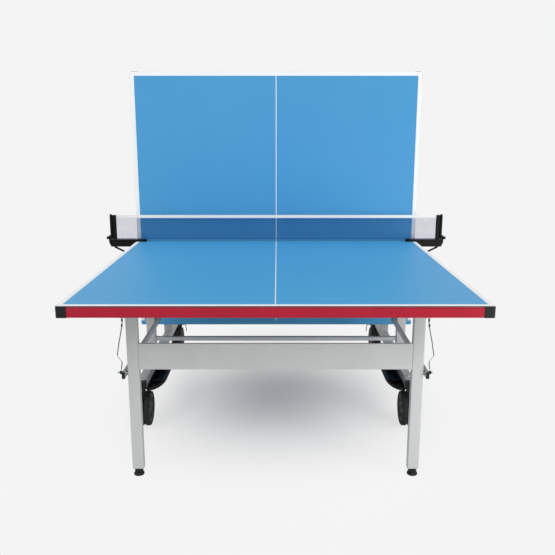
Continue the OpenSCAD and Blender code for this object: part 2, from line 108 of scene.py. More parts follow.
# %% Mesh helpers
def grid_faces(rows, cols, start, wrap_rows, wrap_cols):
    """Quads between neighbouring points of a rows by cols grid, wrapped where it closes."""
    r = np.arange(rows if wrap_rows else rows - 1)
    c = np.arange(cols if wrap_cols else cols - 1)
    i, j = np.meshgrid(r, c, indexing="ij")
    i2, j2 = (i + 1) % rows, (j + 1) % cols
    quads = np.stack([i * cols + j, i2 * cols + j, i2 * cols + j2, i * cols + j2], -1)
    return quads.reshape(-1, 4) + start


def mesh_from(name, grids, smooth=40.0, weld=1e-6):
    """One object from (points, wrap_rows, wrap_cols) grids; points is rows x cols x 3."""
    points, faces, start = [], [], 0
    for grid, wrap_rows, wrap_cols in grids:
        rows, cols = grid.shape[:2]
        points.append(grid.reshape(-1, 3))
        faces.append(grid_faces(rows, cols, start, wrap_rows, wrap_cols))
        start += rows * cols
    mesh = bpy.data.meshes.new(name)
    mesh.from_pydata(np.concatenate(points).tolist(), [], np.concatenate(faces).tolist())
    obj = bpy.data.objects.new(name, mesh)
    bpy.context.scene.collection.objects.link(obj)
    bm = bmesh.new()
    bm.from_mesh(mesh)
    bmesh.ops.remove_doubles(bm, verts=bm.verts, dist=weld)
    bmesh.ops.dissolve_degenerate(bm, edges=bm.edges, dist=weld)
    bmesh.ops.recalc_face_normals(bm, faces=bm.faces)
    bm.to_mesh(mesh)
    bm.free()
    mesh.polygons.foreach_set("use_smooth", [True] * len(mesh.polygons))
    mesh.set_sharp_from_angle(angle=math.radians(smooth))
    normals = obj.modifiers.new("flat_faces_stay_flat", "WEIGHTED_NORMAL")
    normals.keep_sharp = True
    print(f"{name}: {len(mesh.polygons)} faces")
    return obj


def finish_piece(obj, material, body, slot, *replaced):
    """Gives a piece its material and its body, and hides the CAD nodes it stands for. The slot is
    not used.
    """
    obj.data.materials.append(material)
    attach(obj, body)
    if replaced:
        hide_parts(*replaced)


# %% [markdown]
# Most of the table is rectangular steel tube. Real tube is rolled, so its four long edges are
# round. A cube with a Bevel modifier could do, with a weight on each edge. Here `bar` carries a
# rounded rectangle along one axis and closes both ends with a small chamfer, so the two radii are
# two plain numbers. The section is four quarter circles joined by straight sides.

# %% Rounded bars
CORNER_STEPS = 4
LOOP = 4 * (CORNER_STEPS + 1)


def rounded_loop(a, b, r):
    """Rounded rectangle of half sizes a and b: a quarter circle of radius r at each corner."""
    t = np.linspace(0, np.pi / 2, CORNER_STEPS + 1)
    corners = [(a - r, b - r, 0), (r - a, b - r, 1), (r - a, r - b, 2), (a - r, r - b, 3)]
    loops = [
        np.stack([cx + r * np.cos(t + k * np.pi / 2), cy + r * np.sin(t + k * np.pi / 2)], -1)
        for cx, cy, k in corners
    ]
    return np.concatenate(loops)


def bar(lo, hi, axis, radius=2.5 * MM, bevel=0.6 * MM):
    """Grid of a bar from corner lo to corner hi along axis 0, 1 or 2.

    The rounded loop is carried along the axis. At each end it shrinks by the bevel, and then to
    the middle point, which closes the bar.
    """
    lo, hi = np.array(lo, float), np.array(hi, float)
    other = [k for k in range(3) if k != axis]
    half_a, half_b = (hi - lo)[other] / 2
    radius = min(radius, 0.98 * half_a, 0.98 * half_b)
    full = rounded_loop(half_a, half_b, radius)
    shrunk = rounded_loop(half_a - bevel, half_b - bevel, max(radius - bevel, 0.1 * MM))
    middle = np.zeros((LOOP, 2))
    start, end = lo[axis], hi[axis]
    along = np.array([start, start, start + bevel, end - bevel, end, end])
    points = np.empty((6, LOOP, 3))
    points[..., axis] = along[:, None]
    points[..., other] = np.array([middle, shrunk, full, full, shrunk, middle])
    points[..., other] += ((hi + lo) / 2)[other]
    return points, False, True


def both_sides(drawn):
    """The grids of a shape drawn on the right, and their mirror images on the left."""
    grids = []
    for points, wrap_rows, wrap_cols in drawn:
        grids.append((points, wrap_rows, wrap_cols))
        grids.append((points * np.array([-1, 1, 1]), wrap_rows, wrap_cols))
    return grids


def moved(grids, carry):
    """The grids carried from half coordinates to their place by near_half or far_half."""
    return [(carry(points), wrap_rows, wrap_cols) for points, wrap_rows, wrap_cols in grids]


# %% [markdown]
# ## Materials
# Each one starts from what the real surface is. The table has no wood grain or print, so noise
# and wave textures can make all of its finishes, and they stay sharp at any distance. `hex_rgb`
# turns an sRGB hex value to linear, and `put` adds one shader node with its settings and links.

# %% Shader helpers
def hex_rgb(text):
    """sRGB hex to linear RGBA."""
    value = np.array([int(text[i : i + 2], 16) for i in (1, 3, 5)]) / 255
    linear = np.where(value <= 0.04045, value / 12.92, ((value + 0.055) / 1.055) ** 2.4)
    return (*linear.tolist(), 1.0)


def put(tree, kind, links=None, **settings):
    """Adds a node; settings are its properties or sockets, links map sockets to outputs.

    A socket is given by its name, or as i and its number.
    """
    made = tree.nodes.new(kind)
    for key, value in settings.items():
        if hasattr(made, key):
            setattr(made, key, value)
            continue
        socket = int(key[1:]) if key[0] == "i" and key[1:].isdigit() else key
        made.inputs[socket].default_value = value
    for key, source in (links or {}).items():
        tree.links.new(source, made.inputs[key])
    return made


def new_material(name, roughness, metallic=0.0, **sockets):
    """A material with one Principled shader: it, its tree, its shader and object coordinates."""
    made = bpy.data.materials.new(name)
    made.use_nodes = True
    tree = made.node_tree
    shader = tree.nodes["Principled BSDF"]
    shader.inputs["Roughness"].default_value = roughness
    shader.inputs["Metallic"].default_value = metallic
    for key, value in sockets.items():
        shader.inputs[key.replace("_", " ")].default_value = value
    coords = put(tree, "ShaderNodeTexCoord").outputs["Object"]
    return made, tree, shader, coords


def shades(tree, factor, dark, pale):
    """A colour between two hex shades, by a factor output; returns the colour output."""
    mix = put(tree, "ShaderNodeMix", {"Factor": factor}, data_type="RGBA")
    mix.inputs[6].default_value = hex_rgb(dark)
    mix.inputs[7].default_value = hex_rgb(pale)
    return mix.outputs[2]


def emboss(tree, shader, height, strength, depth):
    """Bump from a height output, with the relief's depth in metres."""
    relief = put(tree, "ShaderNodeBump", {"Height": height}, Strength=strength, Distance=depth)
    tree.links.new(relief.outputs["Normal"], shader.inputs["Normal"])


def mottled(name, dark, pale, roughness, grains, bump, metallic=0.0, spread=0.06, **sockets):
    """Paint, plastic or plating: two near shades in broad patches, and a fine grain.

    The patches are about 170 mm wide. The fine grains are counted to a metre, so 500 are 2 mm
    wide each, and one noise of them drives both the roughness and the bump.
    """
    made, tree, shader, coords = new_material(name, roughness, metallic, **sockets)
    patches = put(tree, "ShaderNodeTexNoise", {"Vector": coords}, Scale=6.0, Detail=3.0)
    colour = shades(tree, patches.outputs["Fac"], dark, pale)
    tree.links.new(colour, shader.inputs["Base Color"])
    fine = put(tree, "ShaderNodeTexNoise", {"Vector": coords}, Scale=grains, Detail=2.0)
    rough = put(
        tree, "ShaderNodeMapRange", {"Value": fine.outputs["Fac"]},
        i3=max(roughness - spread, 0.03), i4=min(roughness + spread, 1.0),
    )
    tree.links.new(rough.outputs["Result"], shader.inputs["Roughness"])
    emboss(tree, shader, fine.outputs["Fac"], bump, 0.4 * MM)
    return made


# %% [markdown]
# Paint, plastic, rubber and plating differ in their colour, gloss and grain, but not in how they
# are built up. So one recipe makes them all: two near shades, as no large surface is quite even,
# and a grain as wide as the real surface has it.

# %% Paints, plastics, rubber and steel
# Powder-coated steel tube: pale silver grey, satin, with a faint orange peel of 2 mm.
SILVER = mottled("powder_coat_silver", "#b3b5b5", "#c1c3c3", 0.42, 500, 0.12, 0.15)
# Enamelled end profile: an even, deep red with a soft gloss and hardly any grain.
RED = mottled("enamel_red", "#990d25", "#a7162f", 0.4, 400, 0.06, Specular_IOR_Level=0.25)
# Moulded ABS of caps, blocks, trays and forks: its spark-eroded grain takes the gloss away.
BLACK = mottled("moulded_abs_black", "#111213", "#191a1b", 0.52, 900, 0.35, Specular_IOR_Level=0.22)
# Moulded polyamide of the wheel centres: a little smoother and shinier than the ABS.
HUB = mottled("polyamide_black", "#151617", "#1e1f21", 0.38, 700, 0.2)
# Tread rubber, cured in a mould: dusty and matt.
RUBBER = mottled("tread_rubber", "#181919", "#232424", 0.75, 600, 0.4, Specular_IOR_Level=0.35)
# Zinc-plated bolts and pins: a bright grey metal, slightly uneven.
ZINC = mottled("zinc_plate", "#8f9193", "#a9abac", 0.34, 300, 0.05, 0.9, 0.1)
# Stoved black enamel of the net set: nearly no highlights, so it reads as a black outline.
ENAMEL = mottled("enamel_black", "#0a0a0b", "#101112", 0.4, 500, 0.1, Specular_IOR_Level=0.12)
# Spun polyester of the net: dull dark blue, with a fuzz of 0.7 mm.
THREAD = mottled("polyester_thread", "#063e78", "#0b4d90", 0.85, 1500, 0.3)
# Wire rope in a grey plastic sheath: a dull sheen along its length.
SHEATH = mottled("cable_sheath", "#55585a", "#6b6e70", 0.5, 1200, 0.3, 0.3)
print(len(bpy.data.materials), "paints, plastics and metals")


# %% [markdown]
# ## Playing surface
# The playing surface is melamine on a composite sheet: satin, very slightly grained so that the
# ball grips. White lines 20 mm wide run along the sides and the end, and a thin line divides
# the court. A strip at the net stays blue. The lines could be thin strips laid on the sheet, but
# paint has no edge that catches light. So the material works them out from the distance to each
# edge, and they stay sharp at any zoom. The underside is plain grey.

# %% Court materials
SIDE_LINE = 20 * MM
CENTRE_LINE = 3.8 * MM
NET_STRIP = 24 * MM
LINE_WHITE = "#f3f3f1"
UNDERSIDE = "#46525c"
# Grains of the sheet to a metre, 1.4 mm wide each.
COURT_GRAINS = 700


def compare(tree, value, edge, greater=True):
    """1 where a value lies above (or below) an edge."""
    kind = "GREATER_THAN" if greater else "LESS_THAN"
    return put(tree, "ShaderNodeMath", {0: value}, operation=kind, i1=edge).outputs[0]


def combine(tree, kind, a, b):
    """One Math node of two outputs."""
    return put(tree, "ShaderNodeMath", {0: a, 1: b}, operation=kind).outputs[0]


def scaled(tree, value, factor, offset=0.0):
    """An output times a factor, plus an offset."""
    return put(
        tree, "ShaderNodeMath", {0: value}, operation="MULTIPLY_ADD", i1=factor, i2=offset
    ).outputs[0]


def court_material(name, u_axis, u_zero, u_sign, face_axis, face_sign, dark, pale):
    """Blue sheet with painted lines.

    The distance from the net edge is u_sign * (coordinate on u_axis - u_zero). A face is painted
    where its normal on face_axis, times face_sign, is above 0.6.
    """
    made, tree, shader, coords = new_material(name, 0.5, Specular_IOR_Level=0.3)
    split = put(tree, "ShaderNodeSeparateXYZ", {0: coords})
    aside = put(tree, "ShaderNodeMath", {0: split.outputs["X"]}, operation="ABSOLUTE").outputs[0]
    away = scaled(tree, split.outputs[u_axis], u_sign, -u_sign * u_zero)
    at_side = compare(tree, aside, HALF_W - SIDE_LINE)
    at_end = compare(tree, away, HALF_L - SIDE_LINE)
    at_centre = compare(tree, aside, CENTRE_LINE / 2, False)
    lines = combine(tree, "MAXIMUM", combine(tree, "MAXIMUM", at_side, at_end), at_centre)
    lines = combine(tree, "MULTIPLY", lines, compare(tree, away, NET_STRIP))
    normal = put(tree, "ShaderNodeTexCoord").outputs["Normal"]
    facing = put(tree, "ShaderNodeSeparateXYZ", {0: normal}).outputs[face_axis]
    upper = compare(tree, scaled(tree, facing, face_sign), 0.6)
    # Patches of about 600 mm, as light as the sheet's own unevenness.
    patches = put(tree, "ShaderNodeTexNoise", {"Vector": coords}, Scale=1.6, Detail=2.0)
    blue = shades(tree, patches.outputs["Fac"], dark, pale)
    lined = put(tree, "ShaderNodeMix", {"Factor": lines, 6: blue}, data_type="RGBA")
    lined.inputs[7].default_value = hex_rgb(LINE_WHITE)
    shown = put(tree, "ShaderNodeMix", {"Factor": upper, 7: lined.outputs[2]}, data_type="RGBA")
    shown.inputs[6].default_value = hex_rgb(UNDERSIDE)
    tree.links.new(shown.outputs[2], shader.inputs["Base Color"])
    grain = put(tree, "ShaderNodeTexNoise", {"Vector": coords}, Scale=COURT_GRAINS, Detail=2.0)
    emboss(tree, shader, grain.outputs["Fac"], 0.12, 0.3 * MM)
    return made


NEAR_COURT = court_material(
    "melamine_blue_near", "Y", NET_LINE, -1.0, "Z", 1.0, "#439bcf", "#4fa3d5"
)
# The far half is the same sheet, but its blues are a little darker than the near half's: painted
# shade on the upright half.
FAR_COURT_SHADED = court_material(
    "melamine_blue_far_shaded", "Z", FAR_EDGE_Z, 1.0, "Y", -1.0, "#4495c9", "#4f9dcd"
)
print("centre line", CENTRE_LINE / MM, "mm, side lines", SIDE_LINE / MM, "mm")


# %% [markdown]
# The sheet is a thin slab with slightly rounded edges and corners. A plane with Solidify and
# Bevel modifiers would look the same. Here its outline is drawn at each height of the edge's
# profile instead, shrunk by as much as the edge turns in, as all the other pieces are made.

# %% Sheets
def slab(edge_round=1.2 * MM, corner=6 * MM, margin=3 * MM):
    """The sheet: a rounded rectangle shrunk and lowered along its edge's profile.

    The profile is a quarter circle at the top and one at the bottom. A margin inside them keeps
    the two faces flat up to the edge.
    """
    arc = np.linspace(0, np.pi / 2, 4)
    rise, fall = edge_round * (1 - np.sin(arc)), edge_round * (1 - np.cos(arc))
    inset = np.concatenate([[edge_round + margin], rise, fall, [edge_round + margin]])
    depth = np.concatenate([[0], fall, SHEET_T - rise, [SHEET_T]])
    loops = [rounded_loop(HALF_W - i, HALF_L / 2 - i, corner) for i in inset]
    middle = np.zeros((LOOP, 2))
    points = np.empty((len(depth) + 2, LOOP, 3))
    points[..., :2] = np.array([middle, *loops, middle])
    points[..., 1] += HALF_L / 2
    points[..., 2] = -np.concatenate([[0], depth, [SHEET_T]])[:, None]
    return [(points, False, True)]


for half, carry, court in (("near", near_half, NEAR_COURT), ("far", far_half, FAR_COURT_SHADED)):
    sheet = mesh_from(f"{half}_playing_sheet", moved(slab(), carry), 30.0)
    finish_piece(sheet, court, f"{half}_top", "top_sheet", f"{half}_tabletop")


# %% [markdown]
# ## Edge frame and support frame
# The players' end has a red enamelled profile, and the sides and cross rails are silver. The
# brackets that hold posts and legs are folded plates. All of them are straight, so each is a
# bar, drawn once in half coordinates and carried to both halves.

# %% Frames of both halves
EDGE_W = 20 * MM
EDGE_H = low("near_tabletop")[2] - low("near_apron")[2]
CAP = HALF_W - high("near_apron")[0]
CROSS = 25 * MM
BRACKET_L = 26 * MM
LEG_RIB = 18 * MM
GUIDE_L = 20 * MM
NET_RAIL = NET_LINE - high("near_subframe")[1]
HINGE_U = NET_LINE - (low("near_posts")[1] + high("near_posts")[1]) / 2
LEG_U = NET_LINE - (low("near_legs")[1] + high("near_legs")[1]) / 2
HINGE_Z = (low("near_hinge_pins")[2] + high("near_hinge_pins")[2]) / 2
HINGE_W = HINGE_Z - SURFACE_Z
RIBS = [NET_RAIL, HINGE_U + BRACKET_L, (HINGE_U + LEG_U) / 2, LEG_U + LEG_RIB]
POST_IN, POST_OUT = high("near_cross_bar")[0], high("near_posts")[0]
LEG_IN, LEG_OUT = high("near_leg_panel")[0], high("near_legs")[0] - GUIDE_L
print("cross rails at", [round(float(u), 3) for u in RIBS], "m from the net edge")


def bracket(x0, x1, u):
    """Base plate and two rounded ears beside a post or leg that spans x0 to x1 at u."""
    ear_t, gap, ear, base_t = 5.5 * MM, 1 * MM, 14 * MM, 4 * MM
    left, right = x0 - gap - ear_t, x1 + gap
    top, foot = -SHEET_T, HINGE_W - ear + 2 * MM
    base = bar((left, u - ear, top - base_t), (right + ear_t, u + BRACKET_L, top), 0, 1 * MM)
    ears = [bar((x, u - ear, foot), (x + ear_t, u + ear, top), 0, 5 * MM) for x in (left, right)]
    return [base, *ears]


def support_frame():
    """Two side tubes, the cross rails between them, and a bracket at each post and leg."""
    low_edge, low_cross = -SHEET_T - EDGE_H, -SHEET_T - CROSS
    inner = HALF_W - EDGE_W
    grids = both_sides([bar((inner, NET_RAIL, low_edge), (HALF_W, HALF_L - CAP, -SHEET_T), 1)])
    grids += [bar((-inner, u, low_cross), (inner, u + CROSS, -SHEET_T), 0) for u in RIBS]
    grids += both_sides(bracket(POST_IN, POST_OUT, HINGE_U) + bracket(LEG_IN, LEG_OUT, LEG_U))
    return grids


def end_apron():
    """End profile with a shallow groove under its top edge, as extruded trim has."""
    across = HALF_W - CAP
    lower, upper = -SHEET_T - EDGE_H, -SHEET_T
    groove_z, groove_d = upper - 4 * MM, 1 * MM
    return [
        bar((-across, HALF_L - EDGE_W, lower), (across, HALF_L, groove_z), 0, 3 * MM),
        bar((-across, HALF_L - EDGE_W, groove_z), (across, HALF_L - groove_d, upper), 0, 1 * MM),
    ]


for half, carry in (("near", near_half), ("far", far_half)):
    body = f"{half}_top"
    frame_piece = mesh_from(f"{half}_support_frame", moved(support_frame(), carry))
    finish_piece(frame_piece, SILVER, body, "frame_paint", f"{half}_subframe")
    apron = mesh_from(f"{half}_end_apron", moved(end_apron(), carry))
    finish_piece(apron, RED, body, "apron_paint", f"{half}_apron")


# %% [markdown]
# ## Legs, struts, posts and rails
# The near legs stand on the floor and the far legs hang, so each set is drawn from its own
# node's box. The far leg set is turned half round, so its panel is on the far side. Tubes and
# panel are bars. A foot is round, so it is a profile turned about its axis.

# %% Leg sets
GUIDE_UP, GUIDE_D, GUIDE_H = 625 * MM, 8 * MM, 12 * MM


def leg_set(half):
    """Two legs, each with the small guide that its release cable leaves."""
    (_, y0, z0), (_, y1, z1) = low(f"{half}_legs"), high(f"{half}_legs")
    guide_y = y0 if half == "near" else y1 - GUIDE_D
    guide_low = np.array([LEG_OUT, guide_y, z0 + GUIDE_UP])
    return both_sides([
        bar((LEG_IN, y0, z0), (LEG_OUT, y1, z1), 2, 4 * MM),
        bar(guide_low, guide_low + (GUIDE_L, GUIDE_D, GUIDE_H), 0, 1.5 * MM),
    ])


def foot_profile(foot_d, foot_h):
    """Radius and height round a levelling foot: a domed pad, a waist and a collar."""
    r, h = foot_d / 2 / MM, foot_h / MM
    return np.array([
        (0, 0), (r - 2, 0), (r - 0.5, 1), (r, 3), (r - 0.5, 7), (r - 3, 10), (r - 7, 12),
        (r - 8, 15), (r - 4, 17), (r - 4, h - 1), (r - 5, h), (0, h),
    ]) * MM


def turned(profile, centre, axis=2, count=40):
    """A profile of (radius, distance along the axis) turned round that axis."""
    angle = np.linspace(0, 2 * np.pi, count, endpoint=False)
    other = [k for k in range(3) if k != axis]
    points = np.empty((len(profile), count, 3))
    points[..., axis] = profile[:, 1][:, None]
    points[..., other[0]] = profile[:, 0][:, None] * np.cos(angle)
    points[..., other[1]] = profile[:, 0][:, None] * np.sin(angle)
    return points + np.array(centre), False, True


for half in ("near", "far"):
    body = f"{half}_leg_frame"
    legs = mesh_from(f"{half}_leg_tubes", leg_set(half))
    finish_piece(legs, SILVER, body, "frame_paint", f"{half}_legs")
    panel = bar(low(f"{half}_leg_panel"), high(f"{half}_leg_panel"), 0, 2 * MM)
    panel = mesh_from(f"{half}_leg_board", [panel])
    finish_piece(panel, SILVER, body, "frame_paint", f"{half}_leg_panel")
    foot_low, foot_high = low(f"{half}_feet"), high(f"{half}_feet")
    profile = foot_profile(foot_high[1] - foot_low[1], foot_high[2] - foot_low[2])
    centre = ((LEG_IN + LEG_OUT) / 2, (foot_low[1] + foot_high[1]) / 2, foot_low[2])
    feet = mesh_from(f"{half}_levelling_feet", both_sides([turned(profile, centre)]))
    finish_piece(feet, BLACK, body, "black_plastic", f"{half}_feet")


# %% [markdown]
# Rails, posts and struts come in left and right pairs. A node's box gives a pair its outer
# faces, its length and its height, and only the width of one tube is added. A near rail also
# has a small round button on top, a flat turned cap.

# %% Chassis tubes
def pair_from(node, x0, x1, axis, radius=4 * MM):
    """Two rounded bars in place of a left and right pair of tubes."""
    lo, hi = low(node), high(node)
    return both_sides([bar((x0, lo[1], lo[2]), (x1, hi[1], hi[2]), axis, radius)])


RAIL_S = high("near_rails")[2] - low("near_rails")[2]
RAIL_IN, RAIL_OUT = high("near_rails")[0] - RAIL_S, high("near_rails")[0]
STRUT_T = 12 * MM
STRUT_IN, STRUT_OUT = high("near_struts")[0] - STRUT_T, high("near_struts")[0]
BUTTON = np.array([(0, 5), (6, 4.6), (9, 3), (9.5, 0), (0, 0)]) * MM
BUTTON_AT = ((RAIL_IN + RAIL_OUT) / 2, low("near_rails")[1] + 49 * MM, high("near_rails")[2])
for half, body in (("near", "chassis"), ("far", "far_chassis")):
    rail_grids = pair_from(f"{half}_rails", RAIL_IN, RAIL_OUT, 1)
    if half == "near":
        rail_grids += both_sides([turned(BUTTON, BUTTON_AT, 2, 20)])
    rails = mesh_from(f"{half}_rail_tubes", rail_grids)
    finish_piece(rails, SILVER, body, "frame_paint", f"{half}_rails")
    posts = mesh_from(f"{half}_post_tubes", pair_from(f"{half}_posts", POST_IN, POST_OUT, 2))
    finish_piece(posts, SILVER, body, "frame_paint", f"{half}_posts")
    cross = bar(low(f"{half}_cross_bar"), high(f"{half}_cross_bar"), 0, 3 * MM)
    cross = mesh_from(f"{half}_post_bar", [cross])
    finish_piece(cross, SILVER, body, "frame_paint", f"{half}_cross_bar")
    struts = pair_from(f"{half}_struts", STRUT_IN, STRUT_OUT, 1 if half == "near" else 2, 2 * MM)
    struts = mesh_from(f"{half}_strut_bars", struts)
    finish_piece(struts, SILVER, f"{half}_strut_pair", "frame_paint", f"{half}_struts")


# %% [markdown]
# ## Wheels
# A castor has two wheels side by side. The rubber tread is a turned profile with two grooves.
# The centre is a moulded disc, dished between its axle and its rim, with six ribs that stand up
# from the dish. Cutting the dish between ribs with booleans would leave hard edges. Here the
# face's depth is one smooth function of the angle and the radius, as a mould gives.

# %% Tyres and hubs
ROUND = 72


def tread_profile(outer, thick, width):
    """Closed loop of (radius, place across) with two shallow grooves and round shoulders."""
    r, h, groove = outer / MM, width / 2 / MM, outer / MM - 1.2
    first = np.array([
        (r - thick / MM, -h), (r - 5, -h), (r - 2, 1.2 - h), (r - 0.4, 3.5 - h),
        (r, 6 - h), (groove, 6.6 - h), (groove, 8 - h), (r, 8.6 - h),
    ])
    return np.concatenate([first, first[::-1] * (1, -1)]) * MM


def cylinder(radius, start, end):
    """Profile of a plain cylinder from start to end along its axis."""
    return np.array([(0, start), (radius, start), (radius, end), (0, end)])


def hub_disc(radius, width, centre, outward):
    """Wheel centre: rings from the axle to the rim on the face, and back again behind it.

    The face stands at width / 2 - dish(r) + rib height(r) * rib(angle), where rib is the part of
    1.6 * cos(6 * angle) between 0 and 1, squared. The back is dished half as deep, without ribs.
    """
    rings = np.array([0, 9, 11, 19, 22, 30, 42, 52, 56, 59, radius / MM]) * MM
    dish = np.array([0, 0, 1.5, 1.5, 5, 6, 6, 5, 1.5, 0.6, 0.6])[:, None] * MM
    rib_h = np.array([0, 0, 0, 0, 0, 4.5, 4.5, 4.5, 0, 0, 0])[:, None] * MM
    angle = np.linspace(0, 2 * np.pi, ROUND, endpoint=False)
    rib = np.clip(1.6 * np.cos(6 * angle), 0, 1) ** 2
    face = width / 2 - dish + rib_h * rib
    back = np.repeat(dish / 2 - width / 2, ROUND, 1)
    along = outward * np.concatenate([face, back[::-1]])
    r = np.concatenate([rings, rings[::-1]])[:, None]
    points = np.stack([along, r * np.cos(angle), r * np.sin(angle)], -1)
    return points + np.array(centre), False, True


WHEEL_W = 24 * MM
TYRE_T = 14 * MM
AXLE_R = 5.9 * MM
for end in ("near", "far"):
    for side in ("left", "right"):
        node = f"tyres_{end}_{side}"
        lo, hi = low(node), high(node)
        middle = (lo + hi) / 2
        outer = (hi[2] - lo[2]) / 2
        offset = (hi[0] - lo[0] - WHEEL_W) / 2
        tread, discs = [], []
        for way in (-1, 1):
            centre = middle + np.array([way * offset, 0, 0])
            ring, _, _ = turned(tread_profile(outer, TYRE_T, WHEEL_W), centre, 0, ROUND)
            tread.append((ring, True, True))
            discs.append(hub_disc(outer - TYRE_T, WHEEL_W - 2 * MM, centre, way))
        discs.append(turned(cylinder(AXLE_R, -offset, offset), middle, 0, 24))
        tyre = mesh_from(f"treads_{end}_{side}", tread, 35.0)
        finish_piece(tyre, RUBBER, f"wheels_{end}_{side}", "tyre_rubber", node)
        disc = mesh_from(f"wheel_centres_{end}_{side}", discs, 35.0)
        finish_piece(disc, HUB, f"wheels_{end}_{side}", "hub_plastic", f"hubs_{end}_{side}")


# %% [markdown]
# ## Net
# The net is made of thin polyester: upright threads pass over and under the level ones. A flat
# sheet with a see-through pattern would look thin from the side, so every thread is a tube with
# four sides, straight but for its sway. The mesh is 6 mm and the thread 1 mm thick, coarser than
# the real net's, so that it shows. A thicker cord closes the lower edge.

# %% Net threads
PITCH = 6 * MM
THREAD_R = 0.5 * MM


def strands(along, across, start, end, level_low, level_high, y):
    """Square tubes along one axis, about a pitch apart on the other.

    Each sways in front of and behind y by 0.9 of a thread's radius, and changes sides at each
    crossing. The two directions sway against each other, so they pass over and under.
    """
    count = max(int(round((level_high - level_low) / PITCH)), 2)
    levels = np.linspace(level_low, level_high, count + 1)
    steps = int(round((end - start) / PITCH)) + 1
    t = np.linspace(start, end, steps)
    parity = (-1.0) ** (np.arange(steps)[None, :] + np.arange(len(levels))[:, None])
    sway = parity * THREAD_R * 0.9 * (1 if along == 0 else -1)
    grids = []
    corner = np.array([(1, 0), (0, 1), (-1, 0), (0, -1)]) * THREAD_R
    for level, offset in zip(levels, sway):
        points = np.empty((steps, 4, 3))
        points[..., along] = t[:, None]
        points[..., across] = level + corner[:, 0]
        points[..., 1] = y + offset[:, None] + corner[:, 1]
        grids.append((points, False, True))
    return grids


net_lo, net_hi = low("net_mesh"), high("net_mesh")
net_y = (net_lo[1] + net_hi[1]) / 2
# The outermost threads lie this far inside the net's own edges.
EDGE_IN = THREAD_R * 1.1
x0, x1, z0, z1 = net_lo[0] + EDGE_IN, net_hi[0] - EDGE_IN, net_lo[2] + EDGE_IN, net_hi[2] - EDGE_IN
upright = strands(2, 0, z0, net_hi[2], x0, x1, net_y)
level = strands(0, 2, net_lo[0], net_hi[0], z0, z1, net_y)
net = mesh_from("net_threads", upright + level, 80.0)
finish_piece(net, THREAD, "net_set", "net_fabric", "net_mesh")
CORD_H, CORD_D = 3 * MM, 2.6 * MM
cord_low = (net_lo[0], net_y - CORD_D / 2, net_lo[2])
cord_high = (net_hi[0], net_y + CORD_D / 2, net_lo[2] + CORD_H)
hem = mesh_from("net_lower_cord", [bar(cord_low, cord_high, 0, 1.2 * MM)])
finish_piece(hem, THREAD, "net_set", "net_fabric")


# %% [markdown]
# The tape is one white cotton strip folded over the top threads and pulled tight between the
# posts. Cloth that is pulled tight hardly moves, so a simulation would add nothing. The strip is
# an upside-down U carried along the net, and two slow sine waves give it a faint ripple.

# %% Net tape
def tape_strip():
    """The folded strip's points, its length, and its flat width: both sides of the fold."""
    lo, hi = low("net_tape"), high("net_tape")
    x = np.linspace(lo[0], hi[0], 180)
    half_t = 1.4 * MM
    height = hi[2] - lo[2]
    bend = np.linspace(np.pi, 0, 7)
    rise = np.linspace(0, height - half_t, 5)[:4]
    y = np.concatenate([np.full(4, -half_t), half_t * np.cos(bend), np.full(4, half_t)])
    z = np.concatenate([rise, height - half_t + half_t * np.sin(bend), rise[::-1]])
    ripple = 0.5 * MM * np.sin(x * 9.0) * np.sin(x * 3.1 + 1.0)
    points = np.empty((len(x), len(y), 3))
    points[..., 0] = x[:, None]
    points[..., 1] = (lo[1] + hi[1]) / 2 + y[None, :] + ripple[:, None]
    points[..., 2] = lo[2] + z[None, :]
    return points, hi[0] - lo[0], 2 * height


def woven(name, dark, pale, spacing):
    """Plain weave: two crossed wave patterns at the thread spacing drive colour and bump.

    A wave texture turns through 20 radians a metre for each unit of its scale.
    """
    made, tree, shader, coords = new_material(name, 0.85, Sheen_Weight=0.2)
    turns = 2 * math.pi / spacing / 20
    warp = put(tree, "ShaderNodeTexWave", {"Vector": coords}, Scale=turns, bands_direction="X")
    weft = put(tree, "ShaderNodeTexWave", {"Vector": coords}, Scale=turns, bands_direction="Z")
    weave = combine(tree, "MULTIPLY", warp.outputs["Fac"], weft.outputs["Fac"])
    tree.links.new(shades(tree, weave, dark, pale), shader.inputs["Base Color"])
    emboss(tree, shader, weave, 0.4, 0.4 * MM)
    return made


# Woven cotton: warm white, matt, with a little sheen from its fibres.
TAPE = woven("cotton_tape_white", "#e8e7e3", "#f8f7f3", 1.2 * MM)
tape_points, tape_l, tape_w = tape_strip()
tape = mesh_from("net_white_tape", [(tape_points, False, False)], 60.0)
finish_piece(tape, TAPE, "net_set", "net_tape", "net_tape")


# %% [markdown]
# ## Net posts and clamp levers
# A post is a channel that grips the net and a round tube beside it, both on one hinge bolt with
# a knob. The tube ends in a half sphere round the bolt, so it clears the clamp as it tilts. A
# lever is a round rod between two points, and its ends are half spheres too. One function draws
# both: circles along a line, wide as a sine and a cosine make them at the two ends.

# %% Posts
def domed_rod(start, end, radius, steps=5, count=20):
    """A round rod whose two half-sphere ends have start and end as their centres."""
    start, end = np.array(start), np.array(end)
    run = (end - start) / np.linalg.norm(end - start)
    across = np.cross(run, [0, 1, 0] if abs(run[1]) < 0.9 else [1, 0, 0])
    across /= np.linalg.norm(across)
    third = np.cross(run, across)
    dome = np.linspace(0, np.pi / 2, steps)
    wide = np.concatenate([radius * np.sin(dome), radius * np.cos(dome)])
    along = np.concatenate([-radius * np.cos(dome), radius * np.sin(dome)])
    base = np.where(np.arange(2 * steps)[:, None] < steps, start, end)
    angle = np.linspace(0, 2 * np.pi, count, endpoint=False)
    circle = across * np.cos(angle)[:, None] + third * np.sin(angle)[:, None]
    points = (base + along[:, None] * run)[:, None, :] + wide[:, None, None] * circle
    return points, False, True


def knob_profile(knob_d, knob_l):
    """Radius and place along the bolt: a short drum with its two edges cut off."""
    r, end = knob_d / 2 / MM, -knob_l / MM
    return np.array([(0, end), (r - 1.5, end), (r, end + 1.5), (r, -2), (r - 2, 0), (0, 0)]) * MM


